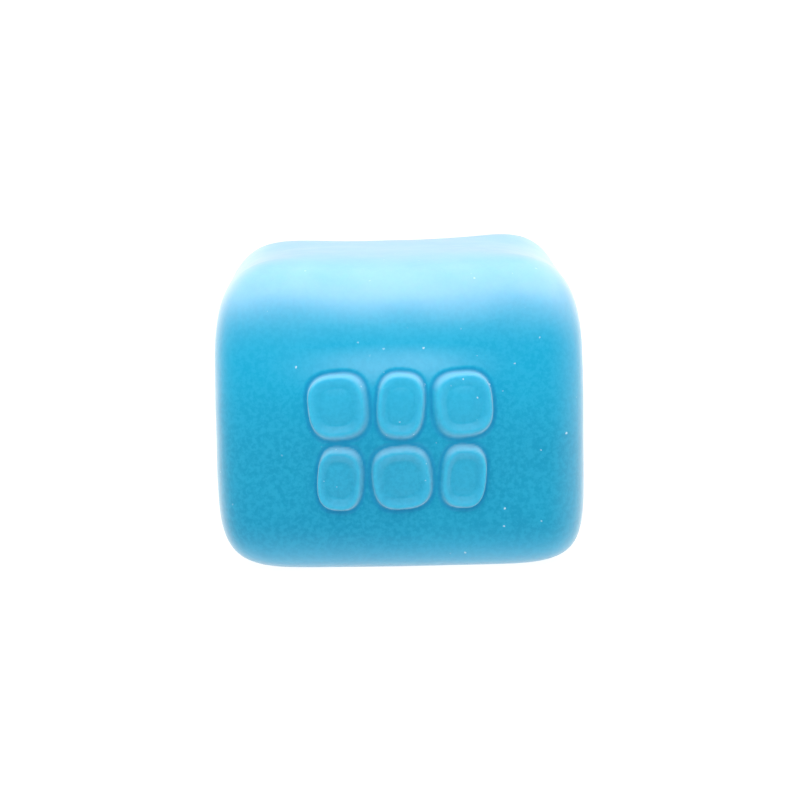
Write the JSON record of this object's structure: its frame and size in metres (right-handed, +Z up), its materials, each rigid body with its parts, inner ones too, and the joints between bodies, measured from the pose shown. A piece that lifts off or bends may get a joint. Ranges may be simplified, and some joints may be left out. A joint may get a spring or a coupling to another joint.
{
  "type": "squeeze cube",
  "caption": "Soft dough-filled squeeze cube with rounded edges and a raised pebble motif on its front; it flattens when pressed and slowly rises again.",
  "frame": {"origin": "on the surface the cube stands on, under the middle of the cube", "axes": "+Z up, -Y out of the face with the raised motif, +X to the right of that face as it is looked at"},
  "size_m": [0.062, 0.0631, 0.0514],
  "materials": {
    "skin": "satin, slightly translucent, sky blue",
    "dough": "dull, soft, near white",
    "plug": "satin",
    "adhesive": "glossy, cured clear"
  },
  "bodies": {
    "base": {"skin_lower": "skin", "dough_core": "dough"},
    "top": {"skin_upper": "skin"},
    "plug": {"fill_plug": "plug", "plug_seal": "adhesive"}
  },
  "joints": [
    {"name": "squeeze", "type": "slide", "parent": "base", "child": "top", "axis": [0, 0, -1], "range_m": [0, 0.02], "stiffness_N_per_m": 2000, "deforming": ["skin_lower", "skin_upper", "dough_core"]},
    {"name": "plug_travel", "type": "slide", "parent": "base", "child": "plug", "axis": [0, 0.7913, -0.6114], "range_m": [0, 0.013]}
  ],
  "couplings": [
    {"joint": "plug_travel", "follows": "squeeze", "ratio": 0.6477}
  ]
}
